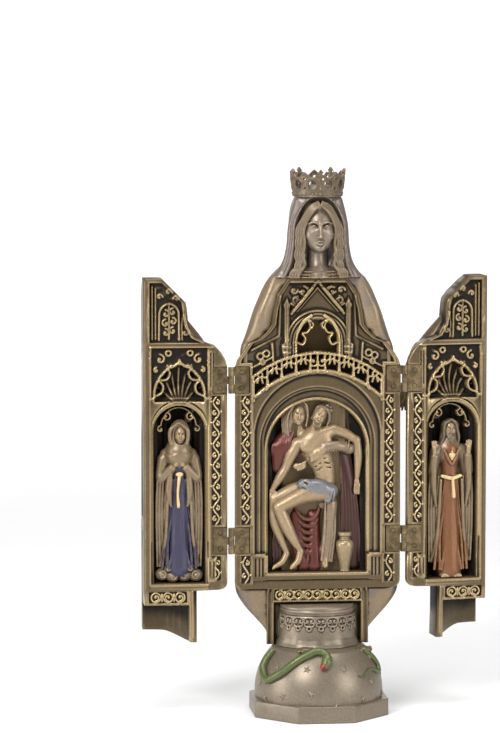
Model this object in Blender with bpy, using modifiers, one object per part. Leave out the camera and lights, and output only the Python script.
"""A crowned mother on a globe whose front opens as two hinged doors over a carved niche.

Lengths are metres. The origin is the middle of the plinth's underside, the figure faces -Y
and stands up along +Z. The doors are modelled shut and stand open, as they are shown.
"""

from math import cos, pi, radians, sin, sqrt, tau

import bmesh
import bpy
import numpy as np
from mathutils import Matrix, Vector

# Fits
WELD_DISTANCE = 0.000002
SEAT_GAP = 0.0003
HINGE_GAP = 0.0002
DOOR_GAP = 0.0015
SPLIT_GAP = 0.0006

# Plinth and globe
PLINTH_HEIGHT = 0.009
PLINTH_ACROSS_FLATS = 0.0715
PLINTH_BEVEL = 0.0006
GLOBE_RADIUS = 0.0342
GLOBE_CENTRE_HEIGHT = 0.012
GLOBE_SEAT_HEIGHT = 0.0355
STAR_RADIUS = 0.0019
STAR_HEIGHT = 0.0009
STAR_SUNK = 0.0008
SNAKE_RADIUS = 0.0024
TOE_RADIUS = 0.0042
TOE_THICKNESS = 0.0040
TOE_ANGLES = (-23, 64)

# Panel, shared by the body and the doors
PANEL_FACE = 0.00475
PANEL_HALF_WIDTH = 0.0444
PANEL_BOTTOM = 0.0657
PANEL_CORNER = 0.004
ARCH_SPRING_HEIGHT = 0.185
PANEL_HEAD_RISE = 0.047
PANEL_THICKNESS = 0.0042
PANEL_RIM = 0.0026

# Body
BODY_DEPTH = 0.0225
FOOT_DEPTH = 0.0190
MANTLE_SETBACK = 0.0012
MANTLE_ROUNDING = 0.003
SHOULDER_BULGE = 0.004
MANTLE_CALM = 0.060
NICHE_HALF_WIDTH = 0.027
NICHE_DEPTH = 0.0165
NICHE_FLOOR = 0.074
NICHE_VAULT_RISE = 0.027
NICHE_TOP_DROP = 0.001
NICHE_STEP = 0.003
TRACERY_THICKNESS = 0.0020
TRACERY_OVERHANG = 0.007
TRACERY_DROP = 0.057
TRACERY_RISE = 0.051
TRACERY_BAND = 0.012
GABLE_RECESS = 0.0030
GABLE_BAR = 0.0016
MOULDING_STEP = 0.001
UPPER_ARCH_RISE = 0.013
UPPER_ARCH_RADIUS = 0.0115
UPPER_ARCH_DEPTH = 0.010
PINNACLE_OFFSET = 0.0165
PINNACLE_HALF_WIDTH = 0.0019
PINNACLE_FOOT_DROP = 0.003
PINNACLE_TIP_DROP = 0.010
PINNACLE_TAPER = 0.006
VINE_CENTRE = 0.0385
VINE_HALF_WIDTH = 0.0025
VINE_RECESS = 0.0007
STRIP_CLEARANCE = 0.0018

# Lower stage under the panel
POST_INSIDE = 0.024
POST_WIDTH = 0.0034
POST_DEPTH = 0.006
FRIEZE_BOTTOM = 0.059
FRIEZE_RECESS = 0.0007
DRUM_HALF_WIDTH = 0.0205
DRUM_FRONT = 0.014
DRUM_FOOT_HALF_WIDTH = 0.0225
DRUM_TOP = 0.057
DRUM_FLARE_HEIGHT = 0.0042

# Doors
DOOR_DEPTH = 0.025
DOOR_EDGE_THICKNESS = 0.0045
FOLD_HEIGHT = 0.001
FOLD_PITCH = 0.007
DOOR_NICHE_CENTRE = 0.019
DOOR_NICHE_HALF_WIDTH = 0.014
DOOR_NICHE_DEPTH = 0.0130
DOOR_NICHE_FLOOR = 0.069
DOOR_VAULT_RISE = 0.023
DOOR_CANOPY_RISE = 0.007
DOOR_FOOT_WIDTH = 0.028
DOOR_FOOT_MIDDLE_LIFT = 0.0062
DOOR_FOOT_SIDE_LIFT = 0.0017
DOOR_LEAF_PANEL_CENTRE = 0.0136
LEAF_PANEL_HALF_WIDTH = 0.0055
HAND_LENGTH = 0.010
STEP_SLOPE = 0.0004
SKIRT_CLEARANCE = 0.0020
LEFT_OPEN_ANGLE = 180
RIGHT_OPEN_ANGLE = 188

# Head and crown
HEAD_ABOVE_PANEL = 0.028
FACE_HALF_WIDTH = 0.0085
FACE_HALF_HEIGHT = 0.0125
CROWN_RISE = 0.015
CROWN_CENTRE_Y = 0.0085
CROWN_BAND_HEIGHT = 0.0035
CROWN_HEIGHT = 0.0147
CROWN_BASE_RADIUS = 0.0130
CROWN_TOP_RADIUS = 0.0150
CROWN_WALL = 0.0015
CROWN_POINTS = 5
CROWN_EYE_RADIUS = 0.0016

# Figures in the niches
PIETA_HEADROOM = 0.017
PIETA_RELIEF = 0.66
PIETA_SETBACK = 0.0092
JAR_HEIGHT = 0.021
DOOR_FIGURE_HEADROOM = 0.035
DOOR_FIGURE_SETBACK = 0.0052
FIGURE_CLEARANCE = 0.0006

# Hinges and screws
LOWER_HINGE_HEIGHT = 0.092
UPPER_HINGE_DROP = 0.007
LEAF_HEIGHT = 0.014
LEAF_WIDTH = 0.0076
LEAF_THICKNESS = 0.0009
LEAF_PROUD = 0.0003
KNUCKLE_RADIUS = 0.0016
PIN_RADIUS = 0.00065
HINGE_SIDE_GAP = 0.0004
SCREW_HEAD_RADIUS = 0.00125
SCREW_SHANK_RADIUS = 0.00055
SCREW_HEAD_HEIGHT = 0.0007
SCREW_LENGTH = 0.0036
SCREW_SPREAD = 0.0042
SCREW_TIP = 0.0006
CUT_OVERRUN = 0.001
MERGE_DISTANCE = 0.00001

# Places that follow from the sizes
HINGE_AXIS_Y = PANEL_FACE - DOOR_GAP / 2
HINGE_AXIS_X = PANEL_HALF_WIDTH + HINGE_SIDE_GAP + KNUCKLE_RADIUS
DOOR_FACE = PANEL_FACE - DOOR_GAP
STATUE_BOTTOM = GLOBE_SEAT_HEIGHT + SEAT_GAP
PANEL_TOP = ARCH_SPRING_HEIGHT + PANEL_HEAD_RISE
DOOR_FOOT_MIDDLE = STATUE_BOTTOM + DOOR_FOOT_MIDDLE_LIFT
DOOR_FOOT_SIDE = STATUE_BOTTOM + DOOR_FOOT_SIDE_LIFT
NICHE_TOP = ARCH_SPRING_HEIGHT - NICHE_TOP_DROP
NICHE_SPRING = NICHE_TOP - NICHE_VAULT_RISE
DOOR_NICHE_TOP = ARCH_SPRING_HEIGHT + DOOR_CANOPY_RISE
DOOR_NICHE_SPRING = DOOR_NICHE_TOP - DOOR_VAULT_RISE
UPPER_ARCH_HEIGHT = ARCH_SPRING_HEIGHT + UPPER_ARCH_RISE
PINNACLE_BOTTOM = ARCH_SPRING_HEIGHT - PINNACLE_FOOT_DROP
PINNACLE_TOP = PANEL_TOP - PINNACLE_TIP_DROP
HINGE_HEIGHTS = (LOWER_HINGE_HEIGHT, ARCH_SPRING_HEIGHT - UPPER_HINGE_DROP)
HEAD_CENTRE_HEIGHT = PANEL_TOP + HEAD_ABOVE_PANEL
CROWN_SEAT_HEIGHT = HEAD_CENTRE_HEIGHT + CROWN_RISE
PIETA_HEIGHT = NICHE_TOP - NICHE_FLOOR - PIETA_HEADROOM
DOOR_FIGURE_HEIGHT = DOOR_NICHE_TOP - DOOR_NICHE_FLOOR - DOOR_FIGURE_HEADROOM

# Outlines: the share of the panel's half width at each share of the rise from spring to top
PANEL_OUTLINE = (
    (0.0, 1.0), (0.085, 0.968), (0.18, 0.90), (0.266, 0.834), (0.309, 0.72), (0.383, 0.63),
    (0.468, 0.563), (0.638, 0.54), (0.809, 0.495), (1.0, 0.36),
)
DOOR_OUTLINE = (
    (0.0, 1.0), (0.085, 0.978), (0.164, 0.93), (0.245, 0.85), (0.266, 0.766), (0.33, 0.628),
    (0.479, 0.536), (0.66, 0.518), (0.734, 0.504), (1.0, 0.225),
)
# Levels up the figure: -1 is the globe's seat, 0 the panel's bottom, 1 the spring of its arch,
# 2 its top and 3 the middle of the face
# The mantle's half width, as a share of the panel's, at levels up the figure
MANTLE_OUTLINE = (
    (-1.0, 0.563), (-0.76, 0.61), (-0.575, 0.72), (-0.358, 0.855), (-0.157, 0.952), (0.0, 0.99),
    (0.086, 0.975), (0.371, 0.945), (0.707, 0.925), (0.958, 0.93), (1.213, 0.922), (1.319, 0.871),
    (1.638, 0.765), (1.894, 0.65), (2.0, 0.58), (2.18, 0.46), (2.32, 0.30),
)
# The dress on the shut doors: its half width as a share of the panel's and its depth as a share
# of the door's, at levels up the figure
DRESS_PROFILE = (
    (-0.96, 0.642, 1.04), (0.28, 0.574, 0.96), (0.707, 0.507, 0.92), (1.064, 0.405, 0.84),
    (1.234, 0.417, 0.86), (1.766, 0.507, 1.0), (2.0, 0.484, 0.62),
)
# Shares of the globe's radius across and up, on its front half
SNAKE_FRONT = (
    (-0.71, 0.66), (-0.83, 0.50), (-0.88, 0.36), (-0.84, 0.25), (-0.74, 0.31), (-0.62, 0.40), (-0.42, 0.56),
    (-0.19, 0.65), (-0.03, 0.68), (0.09, 0.61), (0.12, 0.49), (0.08, 0.39),
)
SNAKE_TAIL = (
    (0.65, 0.67), (0.80, 0.52), (0.88, 0.40), (0.88, 0.32), (0.73, 0.40), (0.61, 0.32), (0.51, 0.34),
)
STARS_FRONT = (
    (-0.71, 0.45), (-0.28, 0.46), (0.29, 0.46), (0.74, 0.57), (0.74, 0.22), (-0.23, 0.10), (-0.65, 0.03),
    (-0.89, -0.05), (0.15, -0.11), (0.59, -0.02), (0.95, -0.02), (-0.95, 0.17), (0.93, 0.30),
)
STARS_BACK = ((-0.6, 0.3), (-0.2, 0.05), (0.25, 0.35), (0.6, 0.1))


def start_collections():
    """Empty the scene and return the collections for parts and for cutters."""
    for old in list(bpy.data.objects):
        bpy.data.objects.remove(old, do_unlink=True)
    collections = []
    for name in ("opening_madonna_statue", "cutters"):
        collection = bpy.data.collections.new(name)
        bpy.context.scene.collection.children.link(collection)
        collections.append(collection)
    return collections


PARTS, CUTTERS = start_collections()


def finish(name, colour, roughness, metallic):
    """A plain material for one kind of surface."""
    material = bpy.data.materials.new(name)
    material.use_nodes = True
    shader = material.node_tree.nodes["Principled BSDF"]
    shader.inputs["Base Color"].default_value = (*colour, 1.0)
    shader.inputs["Roughness"].default_value = roughness
    shader.inputs["Metallic"].default_value = metallic
    return material


BRONZE = finish("antique_bronze", (0.30, 0.23, 0.15), 0.38, 0.85)
PALE_BRONZE = finish("rubbed_bronze", (0.48, 0.38, 0.25), 0.32, 0.85)
PAINTED = finish("painted_casting", (0.45, 0.30, 0.22), 0.40, 0.6)
BLUE_PAINTED = finish("blue_painted_casting", (0.28, 0.26, 0.38), 0.42, 0.5)
COPPER_PAINTED = finish("copper_painted_casting", (0.50, 0.28, 0.14), 0.40, 0.6)
BRASS = finish("hinge_brass", (0.55, 0.43, 0.24), 0.35, 0.95)


def linked(name, mesh, collection=None):
    """A new object for a mesh."""
    item = bpy.data.objects.new(name, mesh)
    (collection or CUTTERS).objects.link(item)
    return item


def evaluated(item):
    """The mesh of an object with its modifiers and its place worked in."""
    bpy.context.view_layer.update()
    graph = bpy.context.evaluated_depsgraph_get()
    mesh = bpy.data.meshes.new_from_object(item.evaluated_get(graph))
    mesh.transform(item.matrix_world)
    return mesh


def bake(item):
    """Replace an object by its evaluated mesh, and return that mesh."""
    mesh = evaluated(item)
    bpy.data.objects.remove(item, do_unlink=True)
    return mesh


def tidied(mesh):
    """Weld a mesh's loose caps, join its flat faces and turn them outward."""
    bm = bmesh.new()
    bm.from_mesh(mesh)
    bmesh.ops.remove_doubles(bm, verts=bm.verts, dist=WELD_DISTANCE)
    bmesh.ops.dissolve_limit(bm, angle_limit=radians(0.2), verts=bm.verts, edges=bm.edges)
    bmesh.ops.dissolve_degenerate(bm, dist=WELD_DISTANCE, edges=bm.edges)
    bmesh.ops.recalc_face_normals(bm, faces=bm.faces)
    bm.to_mesh(mesh)
    bm.free()
    return mesh


def combine(base, other, operation="DIFFERENCE"):
    """One mesh cut by, joined with or kept within another."""
    part = linked("work", base)
    tool = linked("tool", other)
    tool.hide_render = True
    tool.display_type = "WIRE"
    step = part.modifiers.new("combine", "BOOLEAN")
    step.operation = operation
    step.solver = "EXACT"
    step.object = tool
    mesh = bake(part)
    bpy.data.objects.remove(tool, do_unlink=True)
    return mesh


def loft(rings):
    """A closed skin over rings of as many points each, the first ring lowest."""
    bm = bmesh.new()
    rows = [[bm.verts.new(point) for point in ring] for ring in rings]
    count = len(rows[0])
    for lower, upper in zip(rows, rows[1:]):
        for i in range(count):
            j = (i + 1) % count
            bm.faces.new((lower[i], lower[j], upper[j], upper[i]))
    bm.faces.new(rows[0][::-1])
    bm.faces.new(rows[-1])
    bmesh.ops.connect_verts_nonplanar(bm, angle_limit=radians(0.05), faces=bm.faces)
    bmesh.ops.recalc_face_normals(bm, faces=bm.faces)
    mesh = bpy.data.meshes.new("loft")
    bm.to_mesh(mesh)
    bm.free()
    return mesh


def box(low, high):
    """A box between two corners."""
    bm = bmesh.new()
    middle = [(a + b) / 2 for a, b in zip(low, high)]
    size = [b - a for a, b in zip(low, high)]
    place = Matrix.Translation(middle) @ Matrix.Diagonal((*size, 1.0))
    bmesh.ops.create_cube(bm, size=1.0, matrix=place)
    mesh = bpy.data.meshes.new("box")
    bm.to_mesh(mesh)
    bm.free()
    return mesh


def cylinder(radius, height, sides, place=None, top_radius=None):
    """A cylinder or cone about its own Z, standing on its origin."""
    bm = bmesh.new()
    bmesh.ops.create_cone(
        bm, cap_ends=True, segments=sides, depth=height, radius1=radius,
        radius2=radius if top_radius is None else top_radius,
        matrix=(place or Matrix()) @ Matrix.Translation((0, 0, height / 2)),
    )
    mesh = bpy.data.meshes.new("cylinder")
    bm.to_mesh(mesh)
    bm.free()
    return mesh


def ellipsoid(centre, radii, sides=16, rows=10, turn=0.0):
    """A ball stretched to three radii, turned about Y."""
    bm = bmesh.new()
    place = Matrix.Translation(centre) @ Matrix.Rotation(turn, 4, "Y") @ Matrix.Diagonal((*radii, 1.0))
    bmesh.ops.create_uvsphere(bm, u_segments=sides, v_segments=rows, radius=1.0, matrix=place)
    mesh = bpy.data.meshes.new("ellipsoid")
    bm.to_mesh(mesh)
    bm.free()
    return mesh


def tube(points, radii, resolution=2):
    """A round tube through points, with a radius at each, closed by caps."""
    curve = bpy.data.curves.new("tube", "CURVE")
    curve.dimensions = "3D"
    curve.bevel_depth = 1.0
    curve.bevel_resolution = resolution
    curve.use_fill_caps = True
    spline = curve.splines.new("POLY")
    spline.points.add(len(points) - 1)
    if not hasattr(radii, "__len__"):
        radii = [radii] * len(points)
    for knot, point, radius in zip(spline.points, points, radii):
        knot.co = (*point, 1.0)
        knot.radius = radius
    return tidied(bake(linked("tube", curve)))


def slab(outlines, front, back):
    """Flat outlines in X and Z, holes among them, made solid from a front to a back in Y."""
    curve = bpy.data.curves.new("slab", "CURVE")
    curve.dimensions = "2D"
    curve.fill_mode = "BOTH"
    curve.extrude = (back - front) / 2
    for outline in outlines:
        spline = curve.splines.new("POLY")
        spline.points.add(len(outline) - 1)
        spline.use_cyclic_u = True
        for knot, (x, z) in zip(spline.points, outline):
            knot.co = (x, z, 0.0, 1.0)
    item = linked("slab", curve)
    item.matrix_world = Matrix.Translation((0, (front + back) / 2, 0)) @ Matrix.Rotation(pi / 2, 4, "X")
    return tidied(bake(item))


def joined(meshes):
    """Several meshes in one, still as separate shells."""
    bm = bmesh.new()
    for mesh in meshes:
        bm.from_mesh(mesh)
    result = bpy.data.meshes.new("joined")
    bm.to_mesh(result)
    bm.free()
    return result


def largest_shell(mesh):
    """Keep the biggest closed shell of a mesh."""
    bm = bmesh.new()
    bm.from_mesh(mesh)
    waiting = set(bm.verts)
    shells = []
    while waiting:
        shell = {waiting.pop()}
        edge_of_search = list(shell)
        while edge_of_search:
            vertex = edge_of_search.pop()
            for edge in vertex.link_edges:
                other = edge.other_vert(vertex)
                if other in waiting:
                    waiting.discard(other)
                    shell.add(other)
                    edge_of_search.append(other)
        shells.append(shell)
    shells.sort(key=len)
    for shell in shells[:-1]:
        bmesh.ops.delete(bm, geom=list(shell), context="VERTS")
    bm.to_mesh(mesh)
    bm.free()
    return mesh


def sculpted(lumps, voxel, triangles):
    """Lumps melted into one skin, smoothed and brought down to about so many triangles."""
    item = linked("sculpted", joined(lumps))
    melt = item.modifiers.new("melt", "REMESH")
    melt.mode = "VOXEL"
    melt.voxel_size = voxel
    soften = item.modifiers.new("soften", "SMOOTH")
    soften.iterations = 2
    mesh = largest_shell(bake(item))
    item = linked("sculpted", mesh)
    thin = item.modifiers.new("thin", "DECIMATE")
    thin.ratio = min(1.0, triangles / (2.0 * len(mesh.polygons)))
    thin.use_collapse_triangulate = True
    return largest_shell(bake(item))


def place_part(name, mesh, material, joint=None):
    """Put a finished mesh in the parts' collection, under its joint's empty if it has one."""
    mesh.name = name
    mesh.materials.clear()
    mesh.materials.append(material)
    mesh.shade_smooth()
    mesh.set_sharp_from_angle(angle=radians(35))
    item = linked(name, mesh, PARTS)
    if joint:
        mesh.transform(Matrix.Translation(-Vector(joint["at"])))
        item.parent = joint["empty"]
    return item


def mirrored(mesh, side):
    """The mesh itself on the right side, and its mirror image on the left."""
    if side > 0:
        return mesh
    bm = bmesh.new()
    bm.from_mesh(mesh)
    bmesh.ops.transform(bm, matrix=Matrix.Diagonal((-1, 1, 1, 1)), verts=bm.verts)
    bmesh.ops.reverse_faces(bm, faces=bm.faces)
    copy = bpy.data.meshes.new("mirrored")
    bm.to_mesh(copy)
    bm.free()
    return copy


def height_at(level):
    """Height at a level up the figure."""
    marks = (STATUE_BOTTOM, PANEL_BOTTOM, ARCH_SPRING_HEIGHT, PANEL_TOP, HEAD_CENTRE_HEIGHT)
    step = min(len(marks) - 2, max(0, int(level + 1)))
    return marks[step] + (level + 1 - step) * (marks[step + 1] - marks[step])


def outline_half_width(outline, height):
    """Half width of the panel or of a door at a height."""
    share = (height - ARCH_SPRING_HEIGHT) / (PANEL_TOP - ARCH_SPRING_HEIGHT)
    shares = [point[0] for point in outline]
    widths = [point[1] for point in outline]
    width = PANEL_HALF_WIDTH * float(np.interp(share, shares, widths))
    low = height - PANEL_BOTTOM
    if 0 <= low < PANEL_CORNER:
        width -= PANEL_CORNER - sqrt(PANEL_CORNER ** 2 - (PANEL_CORNER - low) ** 2)
    return width


def mantle_half_width(height):
    """Half width of the mantle behind the panel at a height."""
    heights = [height_at(level) for level, width in MANTLE_OUTLINE]
    widths = [width for level, width in MANTLE_OUTLINE]
    return PANEL_HALF_WIDTH * float(np.interp(height, heights, widths))


def panel_half_outline(outline, inset=0.0, bottom=None):
    """Points from the bottom middle round to the top middle, on the +X side."""
    low = PANEL_BOTTOM + inset if bottom is None else bottom
    points = [(0.0, low)]
    if bottom is None:
        for i in range(4):
            angle = pi / 2 * i / 3
            across = PANEL_HALF_WIDTH - inset - PANEL_CORNER * (1 - sin(angle))
            points.append((across, low + PANEL_CORNER * (1 - cos(angle))))
    else:
        points.append((outline_half_width(outline, low) - inset, low))
    rise = PANEL_TOP - ARCH_SPRING_HEIGHT
    for share, width in outline:
        height = min(ARCH_SPRING_HEIGHT + share * rise, PANEL_TOP - inset)
        if height > low:
            points.append((width * PANEL_HALF_WIDTH - inset, height))
    points.append((0.0, PANEL_TOP - inset))
    return points


def both_sides(half):
    """A whole outline from its +X half, which starts and ends on the middle line."""
    left = [(-x, z) for x, z in half[-2:0:-1]]
    return half + left


def arc(centre_x, centre_z, radius_x, radius_z, start, end, steps):
    """Points of an ellipse's arc between two angles in degrees."""
    points = []
    for i in range(steps + 1):
        angle = radians(start + (end - start) * i / steps)
        points.append((centre_x + radius_x * cos(angle), centre_z + radius_z * sin(angle)))
    return points


def on_globe(across, up, out=0.0, side=-1):
    """A point on the globe from shares of its radius, raised outward by a length."""
    depth = sqrt(max(0.0, 1 - across ** 2 - up ** 2))
    normal = Vector((across, side * depth, up)).normalized()
    return Vector((0, 0, GLOBE_CENTRE_HEIGHT)) + normal * (GLOBE_RADIUS + out)


def star(across, up, side):
    """A raised five-pointed star on the globe."""
    outer = []
    for i in range(10):
        radius = STAR_RADIUS if i % 2 == 0 else STAR_RADIUS * 0.5
        angle = pi / 2 + i * tau / 10
        outer.append(Vector((radius * cos(angle), radius * sin(angle), -STAR_SUNK)))
    bm = bmesh.new()
    base = [bm.verts.new(point) for point in outer]
    tip = bm.verts.new((0, 0, STAR_HEIGHT))
    bm.faces.new(base[::-1])
    for i in range(10):
        bm.faces.new((base[i], base[(i + 1) % 10], tip))
    where = on_globe(across, up, 0.0, side)
    normal = (where - Vector((0, 0, GLOBE_CENTRE_HEIGHT))).normalized()
    turn = normal.to_track_quat("Z", "Y").to_matrix().to_4x4()
    bm.transform(Matrix.Translation(where) @ turn)
    mesh = bpy.data.meshes.new("star")
    bm.to_mesh(mesh)
    bm.free()
    return mesh


def make_globe_base():
    """Octagonal plinth, globe, snake, stars and the toes on the globe."""
    corner_radius = PLINTH_ACROSS_FLATS / 2 / cos(pi / 8)
    turn = Matrix.Rotation(pi / 8, 4, "Z")
    plinth = linked("plinth", cylinder(corner_radius, PLINTH_HEIGHT, 8, turn))
    edge = plinth.modifiers.new("edge", "BEVEL")
    edge.width = PLINTH_BEVEL
    edge.segments = 1
    mesh = bake(plinth)
    globe = ellipsoid((0, 0, GLOBE_CENTRE_HEIGHT), [GLOBE_RADIUS] * 3, 22, 12)
    reach = 2 * GLOBE_RADIUS
    kept = box((-reach, -reach, PLINTH_HEIGHT / 2), (reach, reach, GLOBE_SEAT_HEIGHT))
    globe = combine(globe, kept, "INTERSECT")
    mesh = combine(mesh, globe, "UNION")
    front = [on_globe(*point, SNAKE_RADIUS * 0.5) for point in SNAKE_FRONT]
    girths = [SNAKE_RADIUS] * (len(front) - 2) + [SNAKE_RADIUS * 1.1, SNAKE_RADIUS * 0.7]
    mesh = combine(mesh, tube(front, girths, 1), "UNION")
    tail = [on_globe(*point, SNAKE_RADIUS * 0.3) for point in SNAKE_TAIL]
    girths = [SNAKE_RADIUS * (1 - 0.75 * i / (len(tail) - 1)) for i in range(len(tail))]
    mesh = combine(mesh, tube(tail, girths, 1), "UNION")
    seat_radius = sqrt(GLOBE_RADIUS ** 2 - (GLOBE_SEAT_HEIGHT - GLOBE_CENTRE_HEIGHT) ** 2)
    for turn in TOE_ANGLES:
        toe_z = GLOBE_SEAT_HEIGHT - TOE_THICKNESS / 5
        where = (seat_radius * sin(radians(turn)), -seat_radius * cos(radians(turn)), toe_z)
        foot = ellipsoid(where, (TOE_RADIUS, TOE_RADIUS, TOE_THICKNESS / 2), 8, 6)
        mesh = combine(mesh, foot, "UNION")
    for stars, side in ((STARS_FRONT, -1), (STARS_BACK, 1)):
        for across, up in stars:
            mesh = combine(mesh, star(across, up, side), "UNION")
    return place_part("globe_base", tidied(mesh), PALE_BRONZE)


def body_ring(height):
    """One level of the mantle: flat at the panel's face, rounded and folded behind."""
    half = mantle_half_width(height)
    levels = [height_at(level) for level in (-1, 0.08, 1.1, 2, 2.32)]
    depths = (FOOT_DEPTH, BODY_DEPTH, BODY_DEPTH, BODY_DEPTH * 0.72, BODY_DEPTH * 0.30)
    depth = float(np.interp(height, levels, depths))
    face = PANEL_FACE + MANTLE_SETBACK + max(0.0, height - PANEL_TOP) * 0.8
    clear = outline_half_width(PANEL_OUTLINE, height) + MANTLE_SETBACK * 2 / 3
    inner = min(clear, half - 1.7 * MANTLE_SETBACK)
    shoulder = height_at(1.234)
    bulge = 0.0
    if height >= shoulder:
        bulge = SHOULDER_BULGE * sin(pi * min(1.0, (height - shoulder) / (PANEL_TOP - shoulder)))
    if height >= PANEL_BOTTOM:
        middle = (inner + half) / 2
        front = [(-middle, face - bulge), (-inner, face), (inner, face), (middle, face - bulge)]
    else:
        middle = half * 0.9
        low_face = face + MANTLE_SETBACK / 2
        front = [(-middle, low_face), (-inner * 0.9, face), (inner * 0.9, face), (middle, low_face)]
    ring = [Vector((x, y, height)) for x, y in front]
    steps = 18
    for i in range(steps + 1):
        angle = pi * i / steps
        fold = 1 + 0.050 * cos(9.0 * angle) * max(0.0, min(1.0, (PANEL_TOP - height) / MANTLE_CALM))
        x = half * abs(cos(angle)) ** 0.85 * (1 if cos(angle) >= 0 else -1)
        y = face + MANTLE_ROUNDING + depth * fold * sin(angle) ** 0.8
        ring.append(Vector((x, y, height)))
    return ring


def head_lumps():
    """Face, neck, hair, veil and upper bust."""
    w = FACE_HALF_WIDTH
    h = FACE_HALF_HEIGHT
    rise = HEAD_CENTRE_HEIGHT - PANEL_TOP

    def at(x, y, level):
        return (x * w, y * w, height_at(level))

    def face_at(y, up):
        return (0, 0.47 * w + y * w, HEAD_CENTRE_HEIGHT + up * h)

    lumps = [
        ellipsoid(face_at(0, 0), (w, w * 1.15, h)),
        ellipsoid(face_at(-1.12, -0.10), (w * 0.14, w * 0.20, h * 0.26), 8, 6),
        ellipsoid(face_at(-0.98, -0.48), (w * 0.24, w * 0.14, h * 0.08), 8, 6),
        ellipsoid(face_at(-0.80, -0.80), (w * 0.30, w * 0.26, h * 0.16), 8, 6),
        tube([at(0, 0.88, 2.79), at(0, 0.71, 2.29), at(0, 0.71, 1.94)], [0.56 * w, 0.55 * w, 0.88 * w]),
        ellipsoid(at(0, 1.06, 3.07), (w * 1.76, w * 1.65, rise * 0.82)),
        ellipsoid(at(0, 1.53, 2.54), (w * 1.76, w * 1.06, rise * 0.93)),
        ellipsoid(at(0, 1.18, 1.94), (w * 2.76, w * 1.53, rise * 0.32)),
        ellipsoid(at(0, 0.47, 1.96), (w * 1.76, w, rise * 0.22)),
    ]
    for s in (-1, 1):
        veil = [(0.94, 0.59, 3.43), (1.47, 0.71, 3.0), (1.62, 0.82, 2.57), (2.06, 1.0, 2.14),
                (2.53, 1.12, 1.83)]
        veil = [at(s * x, y, level) for x, y, level in veil]
        lumps.append(tube(veil, [w * girth for girth in (0.47, 0.40, 0.40, 0.53, 0.82)]))
        hair = [(0.18, -0.35, 3.48), (0.82, -0.29, 3.32), (1.12, 0, 3.0), (1.12, 0, 2.64),
                (1.35, -0.12, 2.32), (1.53, -0.06, 2.05)]
        hair = [at(s * x, y, level) for x, y, level in hair]
        lumps.append(tube(hair, [w * girth for girth in (0.21, 0.28, 0.28, 0.26, 0.26, 0.16)]))
    return lumps


def make_tracery():
    """The pierced segmental canopy across the top of the niche."""
    half = NICHE_HALF_WIDTH + TRACERY_OVERHANG
    centre = NICHE_TOP - TRACERY_DROP
    band = TRACERY_BAND / 2
    edge_gap = SEAT_GAP / 3
    upper = arc(0, centre + band, half * 1.50, TRACERY_RISE, 132, 48, 12)
    lower = arc(0, centre - band, half * 1.34, TRACERY_RISE, 43, 137, 12)
    outline = [(x, min(z, NICHE_TOP + 2 * edge_gap)) for x, z in upper] + lower
    mesh = slab([outline], PANEL_FACE + edge_gap, PANEL_FACE + TRACERY_THICKNESS)
    clear = TRACERY_THICKNESS / 2
    for i in range(-3, 4):
        angle = radians(90 - i * 11.5)
        x = half * 1.42 * cos(angle)
        z = centre + TRACERY_RISE * sin(angle)
        hole = arc(x, z, TRACERY_BAND * 0.27, TRACERY_BAND * 0.30, 0, 315, 7)
        mesh = combine(mesh, slab([hole], PANEL_FACE - clear, PANEL_FACE + TRACERY_THICKNESS + clear))
    return tidied(mesh)


def make_gable():
    """Pointed gable over a round arch, with a pinnacle on either side."""
    front = PANEL_FACE
    back = PANEL_FACE + GABLE_RECESS + MOULDING_STEP
    bar = GABLE_BAR
    arch = arc(0, UPPER_ARCH_HEIGHT, UPPER_ARCH_RADIUS + bar, UPPER_ARCH_RADIUS + bar, -20, 200, 10)
    pieces = [slab([arch], front + MOULDING_STEP * 0.4, back)]
    apex = PANEL_TOP - MOULDING_STEP
    foot = UPPER_ARCH_HEIGHT + UPPER_ARCH_RADIUS * 0.35
    half = [(0.0, apex - 3.2 * bar), (PINNACLE_OFFSET, foot - bar), (PINNACLE_OFFSET, foot + bar),
            (0.0, apex)]
    pieces.append(slab([both_sides(half)], front + MOULDING_STEP * 0.8, back + MOULDING_STEP * 0.5))
    for side in (-1, 1):
        x = side * PINNACLE_OFFSET
        w = PINNACLE_HALF_WIDTH
        low = PINNACLE_BOTTOM + PINNACLE_TAPER
        high = PINNACLE_TOP - PINNACLE_TAPER
        post = [(x - w, low), (x, PINNACLE_BOTTOM), (x + w, low), (x + w, high), (x, PINNACLE_TOP),
                (x - w, high)]
        pieces.append(slab([post], front + MOULDING_STEP * 0.2, back + MOULDING_STEP * 1.1))
    return pieces


def strip_spans():
    """The heights between which the vine strips run, clear of the hinges."""
    clear = LEAF_HEIGHT / 2 + STRIP_CLEARANCE
    lower, upper = HINGE_HEIGHTS
    return ((DOOR_NICHE_FLOOR - STRIP_CLEARANCE / 2, lower - clear), (lower + clear, upper - clear))


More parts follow.
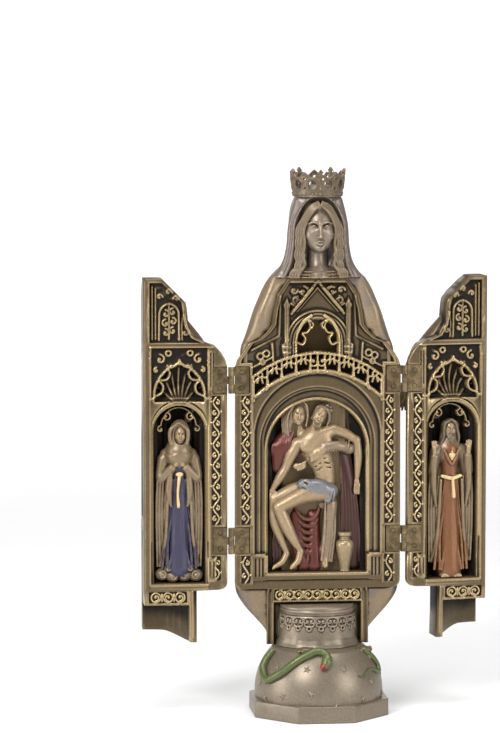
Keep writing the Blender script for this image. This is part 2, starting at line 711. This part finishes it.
def make_statue_body():
    """The one casting that carries everything: mantle, bust, panel, niche and lower stage."""
    levels = (-1, -0.76, -0.575, -0.358, -0.157, 0, 0.086, 0.246, 0.455, 0.707, 0.941, 1.213, 1.319, 1.489,
              1.66, 1.851, 2, 2.18, 2.32)
    mesh = loft([body_ring(height_at(level)) for level in levels])
    panel = slab([both_sides(panel_half_outline(PANEL_OUTLINE))], PANEL_FACE, PANEL_FACE + PANEL_THICKNESS)
    mesh = combine(mesh, panel, "UNION")

    bust = sculpted(head_lumps(), FACE_HALF_WIDTH / 9.5, 900)
    reach = PANEL_HALF_WIDTH
    door_space = box((-reach, -reach, PANEL_BOTTOM),
                     (reach, PANEL_FACE + MOULDING_STEP, PANEL_TOP + SEAT_GAP))
    bust = combine(bust, door_space)
    rim = CROWN_BASE_RADIUS - CROWN_WALL - 3 * SEAT_GAP
    aim = Matrix.Translation((0, CROWN_CENTRE_Y, CROWN_SEAT_HEIGHT))
    seat = cylinder(2 * CROWN_TOP_RADIUS, 3 * CROWN_HEIGHT, 16, aim)
    aim = Matrix.Translation((0, CROWN_CENTRE_Y, CROWN_SEAT_HEIGHT - CROWN_HEIGHT))
    dome = cylinder(rim, 5 * CROWN_HEIGHT, 16, aim)
    bust = combine(bust, combine(seat, dome))
    mesh = combine(mesh, bust, "UNION")

    drum_depth = DRUM_FRONT + PANEL_FACE
    drum_back = PANEL_FACE + POST_DEPTH * 1.5
    flare = DRUM_FOOT_HALF_WIDTH - DRUM_HALF_WIDTH
    drum_rings = []
    for height, half, front in (
            (STATUE_BOTTOM, DRUM_FOOT_HALF_WIDTH, drum_depth + flare * 0.8),
            (STATUE_BOTTOM + DRUM_FLARE_HEIGHT, DRUM_HALF_WIDTH + flare * 0.3, drum_depth),
            (DRUM_TOP, DRUM_HALF_WIDTH - flare / 2, drum_depth - flare * 0.6)):
        curve = arc(0, PANEL_FACE + POST_DEPTH * 0.42, half, front, 180, 360, 14)
        ring = [Vector((x, y, height)) for x, y in curve]
        ring += [Vector((half * 0.9, drum_back, height)), Vector((-half * 0.9, drum_back, height))]
        drum_rings.append(ring)
    mesh = combine(mesh, loft(drum_rings), "UNION")
    outside = POST_INSIDE + POST_WIDTH
    stage_top = PANEL_BOTTOM + MOULDING_STEP * 1.5
    for side in (-1, 1):
        low, high = sorted((side * POST_INSIDE, side * outside))
        post = box((low, PANEL_FACE, STATUE_BOTTOM), (high, PANEL_FACE + POST_DEPTH, stage_top))
        mesh = combine(mesh, post, "UNION")
    frieze = box((MOULDING_STEP - outside, PANEL_FACE + FRIEZE_RECESS, FRIEZE_BOTTOM),
                 (outside - MOULDING_STEP, PANEL_FACE + POST_DEPTH, stage_top))
    mesh = combine(mesh, frieze, "UNION")

    share = NICHE_DEPTH / NICHE_HALF_WIDTH
    mouth = PANEL_FACE - SEAT_GAP
    stretch = Matrix.Translation((0, mouth, NICHE_FLOOR)) @ Matrix.Diagonal((1, share, 1, 1))
    niche = cylinder(NICHE_HALF_WIDTH, NICHE_SPRING - NICHE_FLOOR, 24, stretch)
    vault = ellipsoid((0, mouth, NICHE_SPRING),
                      (NICHE_HALF_WIDTH, NICHE_DEPTH, NICHE_TOP - NICHE_SPRING), 24, 10)
    mesh = combine(mesh, combine(niche, vault, "UNION"))
    before = PANEL_FACE - MOULDING_STEP
    step = NICHE_HALF_WIDTH + NICHE_STEP
    step_foot = NICHE_FLOOR + NICHE_HALF_WIDTH * 0.37
    shallow = [(-step, step_foot)]
    shallow += arc(0, NICHE_SPRING - 2 * NICHE_STEP, step, step, 180, 0, 14)
    shallow.append((step, step_foot))
    mesh = combine(mesh, slab([shallow], before, PANEL_FACE + NICHE_STEP * 0.83))

    field_foot = ARCH_SPRING_HEIGHT + 2 * MOULDING_STEP
    spandrel = both_sides(panel_half_outline(PANEL_OUTLINE, PANEL_RIM, field_foot))
    mesh = combine(mesh, slab([spandrel], before, PANEL_FACE + GABLE_RECESS))
    for piece in make_gable():
        mesh = combine(mesh, piece, "UNION")
    sill = ARCH_SPRING_HEIGHT + MOULDING_STEP * 1.5
    keyhole = [(-UPPER_ARCH_RADIUS, sill)]
    keyhole += arc(0, UPPER_ARCH_HEIGHT, UPPER_ARCH_RADIUS, UPPER_ARCH_RADIUS, 180, 0, 12)
    keyhole.append((UPPER_ARCH_RADIUS, sill))
    mesh = combine(mesh, slab([keyhole], before, PANEL_FACE + UPPER_ARCH_DEPTH))

    for side in (-1, 1):
        for low, high in strip_spans():
            x = side * VINE_CENTRE
            strip = box((x - VINE_HALF_WIDTH, before, low),
                        (x + VINE_HALF_WIDTH, PANEL_FACE + VINE_RECESS, high))
            mesh = combine(mesh, strip)
        for height in HINGE_HEIGHTS:
            for cutter in hinge_seat(PANEL_FACE, 1, height):
                mesh = combine(mesh, mirrored(cutter, side))
    mesh = combine(tidied(mesh), make_tracery(), "UNION")
    return place_part("statue_body", tidied(mesh), BRONZE)


def make_crown():
    """Pierced crown: a flaring band of five tall and five low points."""
    columns = 20
    centre = Vector((0, CROWN_CENTRE_Y, CROWN_SEAT_HEIGHT + SEAT_GAP))
    bm = bmesh.new()
    rows = []
    levels = ((0.0, 0.0), (CROWN_BAND_HEIGHT, 0.0), (0.62, 1.0), (1.0, 1.0))
    for base, wave in levels:
        row = []
        for i in range(columns):
            angle = tau * i / columns - pi / 2
            turn = CROWN_POINTS * (angle + pi / 2) / tau
            nearest = abs(turn - round(turn))
            tall = max(0.0, 1 - nearest * 5.2)
            short = max(0.0, 1 - abs(nearest - 0.5) * 5.2)
            top = CROWN_HEIGHT * (0.66 + 0.34 * tall + 0.20 * short)
            height = base if wave == 0.0 else base * top
            flare = (height / CROWN_HEIGHT) ** 1.5
            radius = CROWN_BASE_RADIUS + (CROWN_TOP_RADIUS - CROWN_BASE_RADIUS) * flare
            row.append(bm.verts.new(centre + Vector((radius * cos(angle), radius * sin(angle), height))))
        rows.append(row)
    for lower, upper in zip(rows, rows[1:]):
        for i in range(columns):
            j = (i + 1) % columns
            bm.faces.new((lower[i], lower[j], upper[j], upper[i]))
    mesh = bpy.data.meshes.new("crown")
    bm.to_mesh(mesh)
    bm.free()
    item = linked("crown_band", mesh)
    wall = item.modifiers.new("wall", "SOLIDIFY")
    wall.thickness = CROWN_WALL
    wall.offset = -1
    wall.use_even_offset = False
    mesh = bake(item)
    for i in range(2 * CROWN_POINTS):
        angle = tau * (i + 0.5) / (2 * CROWN_POINTS) - pi / 2
        where = centre + Vector((0, 0, CROWN_BAND_HEIGHT + CROWN_EYE_RADIUS * 1.25))
        aim = Matrix.Translation(where) @ Matrix.Rotation(angle, 4, "Z") @ Matrix.Rotation(pi / 2, 4, "Y")
        mesh = combine(mesh, cylinder(CROWN_EYE_RADIUS, 2 * CROWN_TOP_RADIUS, 6, aim))
    return place_part("crown", tidied(mesh), BRONZE)


def dress_front(x, height):
    """How far the dress and mantle stand forward of the hinge plane on the shut doors."""
    across = abs(x)
    heights = [height_at(level) for level, waist, depth in DRESS_PROFILE]
    waist = PANEL_HALF_WIDTH * float(np.interp(height, heights, [row[1] for row in DRESS_PROFILE]))
    depth = DOOR_DEPTH * float(np.interp(height, heights, [row[2] for row in DRESS_PROFILE]))
    dress = depth * sqrt(max(0.0, 1 - min(1.0, across / (waist * 1.18)) ** 2.4))
    calm = 1 if height < ARCH_SPRING_HEIGHT else 0.3
    folds = FOLD_HEIGHT * cos(across / FOLD_PITCH * tau + height / PANEL_TOP * 7) * calm
    mantle_depth = DOOR_DEPTH * 0.72 * sqrt(max(0.0, 1 - (across / (PANEL_HALF_WIDTH * 1.02)) ** 2.2))
    mantle = max(DOOR_EDGE_THICKNESS, mantle_depth + FOLD_HEIGHT * cos(across / FOLD_PITCH * 1.45 * tau))
    return max(dress + folds, mantle)


def foot_height(x):
    """The hem of a door: high over the snake, low at the post."""
    share = min(1.0, max(0.0, (abs(x) / DOOR_FOOT_WIDTH - 0.36) / 0.57))
    return DOOR_FOOT_MIDDLE + (DOOR_FOOT_SIDE - DOOR_FOOT_MIDDLE) * share * share * (3 - 2 * share)


def door_ring(height, width, hem=False):
    """One level of the right door, shut: flat inside, carved outside."""
    columns = 12
    start = SPLIT_GAP / 2
    xs = [start + (width - start) * i / (columns - 1) for i in range(columns)]
    ring = []
    for i in (0, 4, 8, columns - 1):
        z = foot_height(xs[i]) if hem else height
        ring.append(Vector((xs[i], DOOR_FACE, z)))
    for x in xs[::-1]:
        z = foot_height(x) if hem else height
        ring.append(Vector((x, DOOR_FACE - dress_front(x, height), z)))
    return ring


def arm_lumps(side):
    """Sleeve, wrist and open hand on the outside of a shut door, right side."""
    depth = DOOR_DEPTH
    length = HAND_LENGTH

    def at(x, y, level):
        return Vector((x * PANEL_HALF_WIDTH, -y * depth, height_at(level)))

    hand = at(0.935, 0.52, 0.857 if side < 0 else 0.841)
    lumps = [
        tube([at(0.428, 0.24, 1.489), at(0.608, 0.40, 1.234), at(0.743, 0.50, 1.043), at(0.856, 0.52, 0.941)],
             [0.20 * depth, 0.248 * depth, 0.24 * depth, 0.192 * depth]),
        tube([at(0.676, 0.44, 1.064), at(0.653, 0.40, 0.874), at(0.563, 0.44, 0.757)],
             [0.22 * depth, 0.168 * depth, 0.12 * depth]),
        tube([at(0.833, 0.52, 0.958), hand], [0.32 * length, 0.27 * length]),
        ellipsoid(hand, (0.34 * length, 0.20 * length, 0.50 * length), 10, 8, radians(-20)),
    ]
    for i in range(4):
        spread = (i - 1.5) * 0.13
        start = hand + Vector((spread, 0, -0.2)) * length
        end = hand + Vector((spread * 1.5 + 0.08, 0.06, -0.82 + abs(i - 1.5) * 0.08)) * length
        lumps.append(tube([start, end], [0.10 * length, 0.08 * length], 1))
    thumb = hand + Vector((-0.30, -0.10, -0.40)) * length
    lumps.append(tube([hand, thumb], [0.12 * length, 0.09 * length], 1))
    return lumps


def make_leaf_panel():
    """The raised pointed-arch panel in the upper field of a door."""
    half = LEAF_PANEL_HALF_WIDTH
    low = DOOR_NICHE_TOP + PANEL_RIM + MOULDING_STEP
    spring = (low + PANEL_TOP) / 2
    outline = [(DOOR_LEAF_PANEL_CENTRE - half, low)]
    outline += arc(DOOR_LEAF_PANEL_CENTRE, spring, half, half * 1.6, 180, 0, 6)
    outline.append((DOOR_LEAF_PANEL_CENTRE + half, low))
    return slab([outline], DOOR_FACE - GABLE_RECESS - MOULDING_STEP, DOOR_FACE - GABLE_RECESS / 2)


def make_door(side, name, joint):
    """One half of the opening front, with its niche, its recessed skirt and its hinge seats."""
    rings = [door_ring(height_at(-0.726), DOOR_FOOT_WIDTH, True)]
    ledge = PANEL_BOTTOM - STEP_SLOPE
    rings += [door_ring(height, DOOR_FOOT_WIDTH) for height in (height_at(-0.475), height_at(-0.241), ledge)]
    upper = [PANEL_BOTTOM, PANEL_BOTTOM + PANEL_CORNER * 0.3, PANEL_BOTTOM + PANEL_CORNER]
    levels = (0.137, 0.288, 0.438, 0.589, 0.723, 0.858, 1, 1.096, 1.191, 1.247, 1.33, 1.5, 1.702, 1.851, 2)
    upper += [height_at(level) for level in levels]
    rings += [door_ring(height, outline_half_width(DOOR_OUTLINE, height)) for height in upper]
    mesh = loft(rings)
    mesh = combine(mesh, sculpted(arm_lumps(side), HAND_LENGTH / 12.5, 240), "UNION")

    mouth = DOOR_FACE + SEAT_GAP
    centre = (DOOR_NICHE_CENTRE, mouth, DOOR_NICHE_FLOOR)
    share = DOOR_NICHE_DEPTH / DOOR_NICHE_HALF_WIDTH
    stretch = Matrix.Translation(centre) @ Matrix.Diagonal((1, share, 1, 1))
    niche = cylinder(DOOR_NICHE_HALF_WIDTH, DOOR_NICHE_SPRING - DOOR_NICHE_FLOOR, 16, stretch)
    vault = ellipsoid((DOOR_NICHE_CENTRE, mouth, DOOR_NICHE_SPRING),
                      (DOOR_NICHE_HALF_WIDTH, DOOR_NICHE_DEPTH, DOOR_NICHE_TOP - DOOR_NICHE_SPRING), 16, 8)
    mesh = combine(mesh, combine(niche, vault, "UNION"))

    room = DRUM_FRONT + SKIRT_CLEARANCE * 1.3
    skirt = arc(0, DOOR_FACE, DRUM_FOOT_HALF_WIDTH + SKIRT_CLEARANCE, room + DOOR_FACE, -98, 8, 12)
    rings = []
    for height in (DOOR_FOOT_SIDE - 2 * SKIRT_CLEARANCE, FRIEZE_BOTTOM - SKIRT_CLEARANCE / 2):
        ring = [Vector((x, y, height)) for x, y in skirt]
        ring.append(Vector((-2 * SKIRT_CLEARANCE, DOOR_FACE + SKIRT_CLEARANCE * 1.5, height)))
        rings.append(ring)
    mesh = combine(mesh, loft(rings))

    field = panel_half_outline(DOOR_OUTLINE, PANEL_RIM, DOOR_NICHE_TOP + PANEL_RIM)
    field = [(max(x, PANEL_RIM), z) for x, z in field]
    mesh = combine(mesh, slab([field], DOOR_FACE - GABLE_RECESS, DOOR_FACE + MOULDING_STEP))
    mesh = combine(mesh, make_leaf_panel(), "UNION")

    for low, high in strip_spans():
        strip = box((VINE_CENTRE - VINE_HALF_WIDTH, DOOR_FACE - VINE_RECESS, low),
                    (VINE_CENTRE + VINE_HALF_WIDTH, DOOR_FACE + MOULDING_STEP, high))
        mesh = combine(mesh, strip)
    for height in HINGE_HEIGHTS:
        for cutter in hinge_seat(DOOR_FACE, -1, height):
            mesh = combine(mesh, cutter)
    return place_part(name, tidied(mirrored(mesh, side)), BRONZE, joint)


def hinge_seat(face, inward, height):
    """Cutters for one leaf's pocket and its two screw holes, sunk into a face."""
    sunk = LEAF_THICKNESS - LEAF_PROUD + HINGE_GAP
    edge = HINGE_AXIS_X - KNUCKLE_RADIUS - HINGE_SIDE_GAP
    inner = edge - LEAF_WIDTH - HINGE_GAP
    half = LEAF_HEIGHT / 2 + HINGE_GAP
    low, high = sorted((face - inward * CUT_OVERRUN, face + inward * sunk))
    cutters = [box((inner, low, height - half), (edge + 2 * CUT_OVERRUN, high, height + half))]
    for screw_z in (-SCREW_SPREAD, SCREW_SPREAD):
        where = (edge - LEAF_WIDTH / 2, face, height + screw_z)
        aim = Matrix.Translation(where) @ Matrix.Rotation(-inward * pi / 2, 4, "X")
        depth = SCREW_LENGTH - LEAF_PROUD + HINGE_GAP
        cutters.append(cylinder(SCREW_SHANK_RADIUS + HINGE_GAP, depth, 6, aim))
    return cutters


def knuckle_spans(on_door):
    """The heights of a leaf's knuckles: the outer two on the body, the middle one on the door."""
    third = LEAF_HEIGHT / 3
    if on_door:
        return [(-third / 2 + HINGE_GAP, third / 2 - HINGE_GAP)]
    return [(-LEAF_HEIGHT / 2, -third / 2), (third / 2, LEAF_HEIGHT / 2)]


def make_leaf(face, inward, height, on_door):
    """One hinge leaf with its knuckles, bored for the pin and countersunk for the screws."""
    edge = HINGE_AXIS_X - KNUCKLE_RADIUS - HINGE_SIDE_GAP
    front = face - inward * LEAF_PROUD
    back = front + inward * LEAF_THICKNESS
    low_y, high_y = sorted((front, back))
    half = LEAF_HEIGHT / 2
    mesh = box((edge - LEAF_WIDTH, low_y, height - half), (edge, high_y, height + half))
    for low, high in knuckle_spans(on_door):
        tab = box((edge - LEAF_THICKNESS / 2, low_y, height + low), (HINGE_AXIS_X, high_y, height + high))
        mesh = combine(mesh, tab, "UNION")
        base = Matrix.Translation((HINGE_AXIS_X, HINGE_AXIS_Y, height + low))
        mesh = combine(mesh, cylinder(KNUCKLE_RADIUS, high - low, 8, base), "UNION")
        bore = Matrix.Translation((HINGE_AXIS_X, HINGE_AXIS_Y, height + low - CUT_OVERRUN))
        mesh = combine(mesh, cylinder(PIN_RADIUS + HINGE_GAP, high - low + 2 * CUT_OVERRUN, 8, bore))
    for screw_z in (-SCREW_SPREAD, SCREW_SPREAD):
        where = Matrix.Translation((edge - LEAF_WIDTH / 2, front - inward * HINGE_GAP, height + screw_z))
        aim = where @ Matrix.Rotation(-inward * pi / 2, 4, "X")
        hole = cylinder(SCREW_HEAD_RADIUS + 2 * HINGE_GAP, LEAF_THICKNESS + 2 * HINGE_GAP, 6, aim,
                        SCREW_SHANK_RADIUS + HINGE_GAP)
        mesh = combine(mesh, hole)
    return tidied(mesh)


def make_screw(face, inward, height):
    """A countersunk screw, its head flush with the leaf."""
    outline = [(0.0, 0.0), (SCREW_HEAD_RADIUS, 0.0), (SCREW_SHANK_RADIUS, SCREW_HEAD_HEIGHT),
               (SCREW_SHANK_RADIUS, SCREW_LENGTH - SCREW_TIP), (0.0, SCREW_LENGTH)]
    bm = bmesh.new()
    points = [bm.verts.new((radius, 0, -depth)) for radius, depth in outline]
    for a, b in zip(points, points[1:]):
        bm.edges.new((a, b))
    mesh = bpy.data.meshes.new("screw")
    bm.to_mesh(mesh)
    bm.free()
    item = linked("screw", mesh)
    turned = item.modifiers.new("turned", "SCREW")
    turned.steps = 6
    turned.render_steps = 6
    turned.use_merge_vertices = True
    turned.merge_threshold = MERGE_DISTANCE
    edge = HINGE_AXIS_X - KNUCKLE_RADIUS - HINGE_SIDE_GAP
    front = face - inward * LEAF_PROUD
    where = Matrix.Translation((edge - LEAF_WIDTH / 2, front, height))
    item.matrix_world = where @ Matrix.Rotation(inward * pi / 2, 4, "X")
    return tidied(bake(item))


def make_hinges(side, label, joint):
    """Both hinges of one side: leaves, pins and screws."""
    for level, height in zip(("lower", "upper"), HINGE_HEIGHTS):
        name = f"{label}_{level}"
        leaf = mirrored(make_leaf(PANEL_FACE, 1, height, False), side)
        place_part(f"{name}_body_leaf", leaf, BRASS)
        leaf = mirrored(make_leaf(DOOR_FACE, -1, height, True), side)
        place_part(f"{name}_door_leaf", leaf, BRASS, joint)
        base = Matrix.Translation((HINGE_AXIS_X, HINGE_AXIS_Y, height - LEAF_HEIGHT / 2))
        pin = mirrored(cylinder(PIN_RADIUS, LEAF_HEIGHT, 8, base), side)
        place_part(f"{name}_hinge_pin", pin, BRASS)
        for place, offset in (("low", -SCREW_SPREAD), ("high", SCREW_SPREAD)):
            screw = mirrored(make_screw(PANEL_FACE, 1, height + offset), side)
            place_part(f"{name}_body_screw_{place}", screw, BRASS)
            screw = mirrored(make_screw(DOOR_FACE, -1, height + offset), side)
            place_part(f"{name}_door_screw_{place}", screw, BRASS, joint)


def posed(lumps, place):
    """Lumps given as shares of a figure's height, brought to size and place."""
    for lump in lumps:
        lump.transform(place)
    return lumps


def figure_room(centre, face, inward, half_width, depth, floor):
    """The space that a figure may fill in a round-backed niche."""
    across = half_width - FIGURE_CLEARANCE
    share = (depth - FIGURE_CLEARANCE) / across
    place = Matrix.Translation((centre, face, floor + SEAT_GAP)) @ Matrix.Diagonal((1, share, 1, 1))
    room = cylinder(across, 2 * PIETA_HEIGHT, 28, place)
    front = face - inward * (DOOR_GAP - FIGURE_CLEARANCE) / 2
    low, high = sorted((front, face + inward * 2 * depth))
    slice_box = box((centre - 2 * across, low, 0), (centre + 2 * across, high, 3 * PIETA_HEIGHT))
    return combine(room, slice_box, "INTERSECT")


def robed_figure(belly, robe_foot):
    """A standing robed body with its mantle, in shares of the figure's height, facing -Y."""
    lumps = [
        tube([(0, 0, robe_foot), (0, 0, 0.30), (0, belly, 0.55), (0, 0, 0.78)], [0.066, 0.060, 0.052, 0.050]),
        ellipsoid((0, 0.020, 0.46), (0.120, 0.040, 0.40)),
        ellipsoid((0, 0.010, 0.70), (0.115, 0.048, 0.11)),
    ]
    for side in (-1, 1):
        lumps.append(tube(
            [(side * 0.085, 0.010, 0.76), (side * 0.125, 0.0, 0.55), (side * 0.120, 0.010, 0.30),
             (side * 0.095, 0.015, 0.12)], [0.032, 0.030, 0.026, 0.018]))
        lumps.append(tube([(side * 0.045, -0.030, 0.55), (side * 0.060, -0.030, robe_foot)], [0.022, 0.036]))
    return lumps


def make_praying_figure(joint):
    """The hooded mother with joined hands, on a bank of cloud."""
    lumps = robed_figure(-0.010, 0.09)
    lumps += [
        ellipsoid((0.010, -0.008, 0.905), (0.046, 0.046, 0.062)),
        ellipsoid((0.008, 0.010, 0.905), (0.062, 0.046, 0.085)),
        tube([(0, 0, 0.80), (0, 0, 0.88)], [0.060, 0.030]),
        tube([(0, -0.045, 0.71), (0, -0.056, 0.80)], [0.022, 0.013]),
        ellipsoid((-0.070, -0.005, 0.040), (0.070, 0.056, 0.040)),
        ellipsoid((0.060, -0.005, 0.040), (0.075, 0.056, 0.040)),
        ellipsoid((0, -0.020, 0.035), (0.060, 0.045, 0.035)),
    ]
    for side in (-1, 1):
        lumps.append(tube([(side * 0.100, 0, 0.74), (side * 0.110, -0.020, 0.63), (0, -0.045, 0.74)],
                          [0.034, 0.030, 0.018]))
    mesh = standing_in_door(lumps, -1)
    return place_part("praying_figure", mesh, BLUE_PAINTED, joint)


def make_heart_figure(joint):
    """The bearded standing figure with raised hands and a heart on the breast."""
    lumps = robed_figure(-0.006, 0.03)
    lumps += [
        ellipsoid((0.004, -0.012, 0.915), (0.040, 0.042, 0.058)),
        ellipsoid((0.004, 0.004, 0.920), (0.052, 0.044, 0.070)),
        ellipsoid((0.004, -0.026, 0.868), (0.026, 0.024, 0.036)),
        tube([(0, 0, 0.80), (0, 0, 0.88)], [0.060, 0.028]),
        ellipsoid((0, -0.050, 0.745), (0.018, 0.012, 0.020)),
        ellipsoid((-0.040, -0.028, 0.018), (0.032, 0.040, 0.018)),
        ellipsoid((0.040, -0.028, 0.018), (0.032, 0.040, 0.018)),
    ]
    for side in (-1, 1):
        lumps.append(tube([(side * 0.100, 0, 0.76), (side * 0.120, -0.014, 0.64),
                           (side * 0.108, -0.046, 0.76)],
                          [0.034, 0.032, 0.018]))
        lumps.append(tube([(side * 0.108, -0.046, 0.76), (side * 0.112, -0.052, 0.845)], [0.016, 0.012]))
        lumps.append(tube([(side * 0.042, 0.002, 0.90), (side * 0.052, -0.012, 0.81)], [0.020, 0.014]))
    mesh = standing_in_door(lumps, 1)
    return place_part("heart_figure", mesh, COPPER_PAINTED, joint)


def standing_in_door(lumps, side):
    """A figure turned to face out of a shut door's niche, cut flat under its feet."""
    mesh = sculpted(posed(lumps, Matrix.Scale(DOOR_FIGURE_HEIGHT, 4)), DOOR_FIGURE_HEIGHT / 90, 370)
    centre = side * DOOR_NICHE_CENTRE
    foot = (centre, DOOR_FACE - DOOR_FIGURE_SETBACK, DOOR_NICHE_FLOOR + SEAT_GAP)
    mesh.transform(Matrix.Translation(foot) @ Matrix.Rotation(pi, 4, "Z"))
    room = figure_room(centre, DOOR_FACE, -1, DOOR_NICHE_HALF_WIDTH, DOOR_NICHE_DEPTH, DOOR_NICHE_FLOOR)
    return tidied(largest_shell(combine(mesh, room, "INTERSECT")))


def make_pieta_group():
    """The seated mother with her son laid across her knees, and the jar at her side."""
    lumps = [
        ellipsoid((0.02, 0.035, 0.42), (0.20, 0.060, 0.36)),
        ellipsoid((0.06, 0.030, 0.14), (0.235, 0.075, 0.13)),
        ellipsoid((-0.06, 0.020, 0.72), (0.125, 0.062, 0.13)),
        ellipsoid((-0.095, 0.000, 0.915), (0.046, 0.050, 0.062)),
        ellipsoid((-0.098, 0.020, 0.912), (0.066, 0.055, 0.082)),
        tube([(-0.09, 0.01, 0.87), (-0.08, 0.02, 0.78)], [0.040, 0.075]),
        ellipsoid((0.035, -0.020, 0.900), (0.046, 0.048, 0.058), 14, 10, radians(28)),
        ellipsoid((0.052, -0.005, 0.915), (0.056, 0.050, 0.058)),
        tube([(0.025, -0.02, 0.87), (0.005, -0.03, 0.80)], [0.026, 0.034]),
        tube([(-0.01, -0.035, 0.78), (0.02, -0.040, 0.68), (0.045, -0.045, 0.57), (0.03, -0.055, 0.48)],
             [0.062, 0.072, 0.060, 0.062]),
        tube([(-0.10, -0.035, 0.770), (-0.165, -0.055, 0.630), (-0.300, -0.065, 0.470)],
             [0.032, 0.026, 0.018]),
        ellipsoid((-0.325, -0.065, 0.450), (0.030, 0.020, 0.022)),
        tube([(0.095, -0.030, 0.800), (0.255, -0.035, 0.765), (0.270, -0.040, 0.620), (0.255, -0.045, 0.520)],
             [0.034, 0.028, 0.022, 0.016]),
        tube([(-0.120, -0.060, 0.620), (0.030, -0.085, 0.680), (0.160, -0.070, 0.730)],
             [0.034, 0.028, 0.020]),
        tube([(0.060, -0.060, 0.470), (-0.150, -0.095, 0.455), (-0.265, -0.105, 0.430)],
             [0.060, 0.044, 0.036]),
        tube([(-0.265, -0.105, 0.425), (-0.200, -0.085, 0.260), (-0.110, -0.075, 0.085)],
             [0.034, 0.030, 0.018]),
        tube([(0.040, -0.040, 0.460), (-0.200, -0.060, 0.470), (-0.300, -0.075, 0.450)],
             [0.060, 0.044, 0.034]),
        tube([(-0.300, -0.075, 0.440), (-0.250, -0.060, 0.250), (-0.190, -0.060, 0.075),
              (-0.280, -0.080, 0.030)],
             [0.034, 0.030, 0.020, 0.018]),
        tube([(0.02, 0.0, 0.44), (0.085, -0.085, 0.440), (0.045, -0.075, 0.060)], [0.075, 0.050, 0.036]),
        tube([(-0.16, -0.01, 0.36), (-0.02, -0.06, 0.16), (0.02, -0.05, 0.03)], [0.050, 0.045, 0.040]),
        tube([(0.190, 0.010, 0.66), (0.230, 0.0, 0.38), (0.235, 0.0, 0.06)], [0.050, 0.060, 0.060]),
    ]
    posed(lumps, Matrix.Diagonal((1, PIETA_RELIEF, 1, 1)) @ Matrix.Scale(PIETA_HEIGHT, 4))
    jar = linked("jar", jar_profile())
    turned = jar.modifiers.new("turned", "SCREW")
    turned.steps = 12
    turned.render_steps = 12
    turned.use_merge_vertices = True
    turned.merge_threshold = MERGE_DISTANCE
    jar.location = (0.175 * PIETA_HEIGHT, -0.045 * PIETA_HEIGHT, 0)
    mesh = sculpted(lumps, PIETA_HEIGHT / 95, 1000)
    mesh = combine(mesh, tidied(bake(jar)), "UNION")
    mesh.transform(Matrix.Translation((0, PANEL_FACE + PIETA_SETBACK, NICHE_FLOOR + SEAT_GAP)))
    room = figure_room(0, PANEL_FACE, 1, NICHE_HALF_WIDTH, NICHE_DEPTH, NICHE_FLOOR)
    mesh = largest_shell(combine(mesh, room, "INTERSECT"))
    return place_part("pieta_group", tidied(mesh), PAINTED)


def jar_profile():
    """Half the section of the jar, from its lip down to its foot."""
    shares = ((0.0, 1.0), (0.124, 1.0), (0.124, 0.93), (0.10, 0.857), (0.19, 0.738), (0.20, 0.571),
              (0.171, 0.286), (0.124, 0.0), (0.0, 0.0))
    outline = [(across * JAR_HEIGHT, up * JAR_HEIGHT) for across, up in shares]
    bm = bmesh.new()
    points = [bm.verts.new((radius, 0, height)) for radius, height in outline]
    for a, b in zip(points, points[1:]):
        bm.edges.new((a, b))
    mesh = bpy.data.meshes.new("jar")
    bm.to_mesh(mesh)
    bm.free()
    return mesh


def make_joint(name, side, open_angle):
    """An empty on a hinge line, turned to where its door stands open."""
    empty = bpy.data.objects.new(name, None)
    PARTS.objects.link(empty)
    empty.location = (side * HINGE_AXIS_X, HINGE_AXIS_Y, 0)
    empty.rotation_euler = (0, 0, side * radians(open_angle))
    return {"empty": empty, "at": (side * HINGE_AXIS_X, HINGE_AXIS_Y, 0)}


def main():
    """Make every piece."""
    make_globe_base()
    make_statue_body()
    make_crown()
    make_pieta_group()
    left = make_joint("left_hinge_line", -1, LEFT_OPEN_ANGLE)
    right = make_joint("right_hinge_line", 1, RIGHT_OPEN_ANGLE)
    make_door(-1, "left_door", left)
    make_door(1, "right_door", right)
    make_praying_figure(left)
    make_heart_figure(right)
    make_hinges(-1, "left", left)
    make_hinges(1, "right", right)


main()
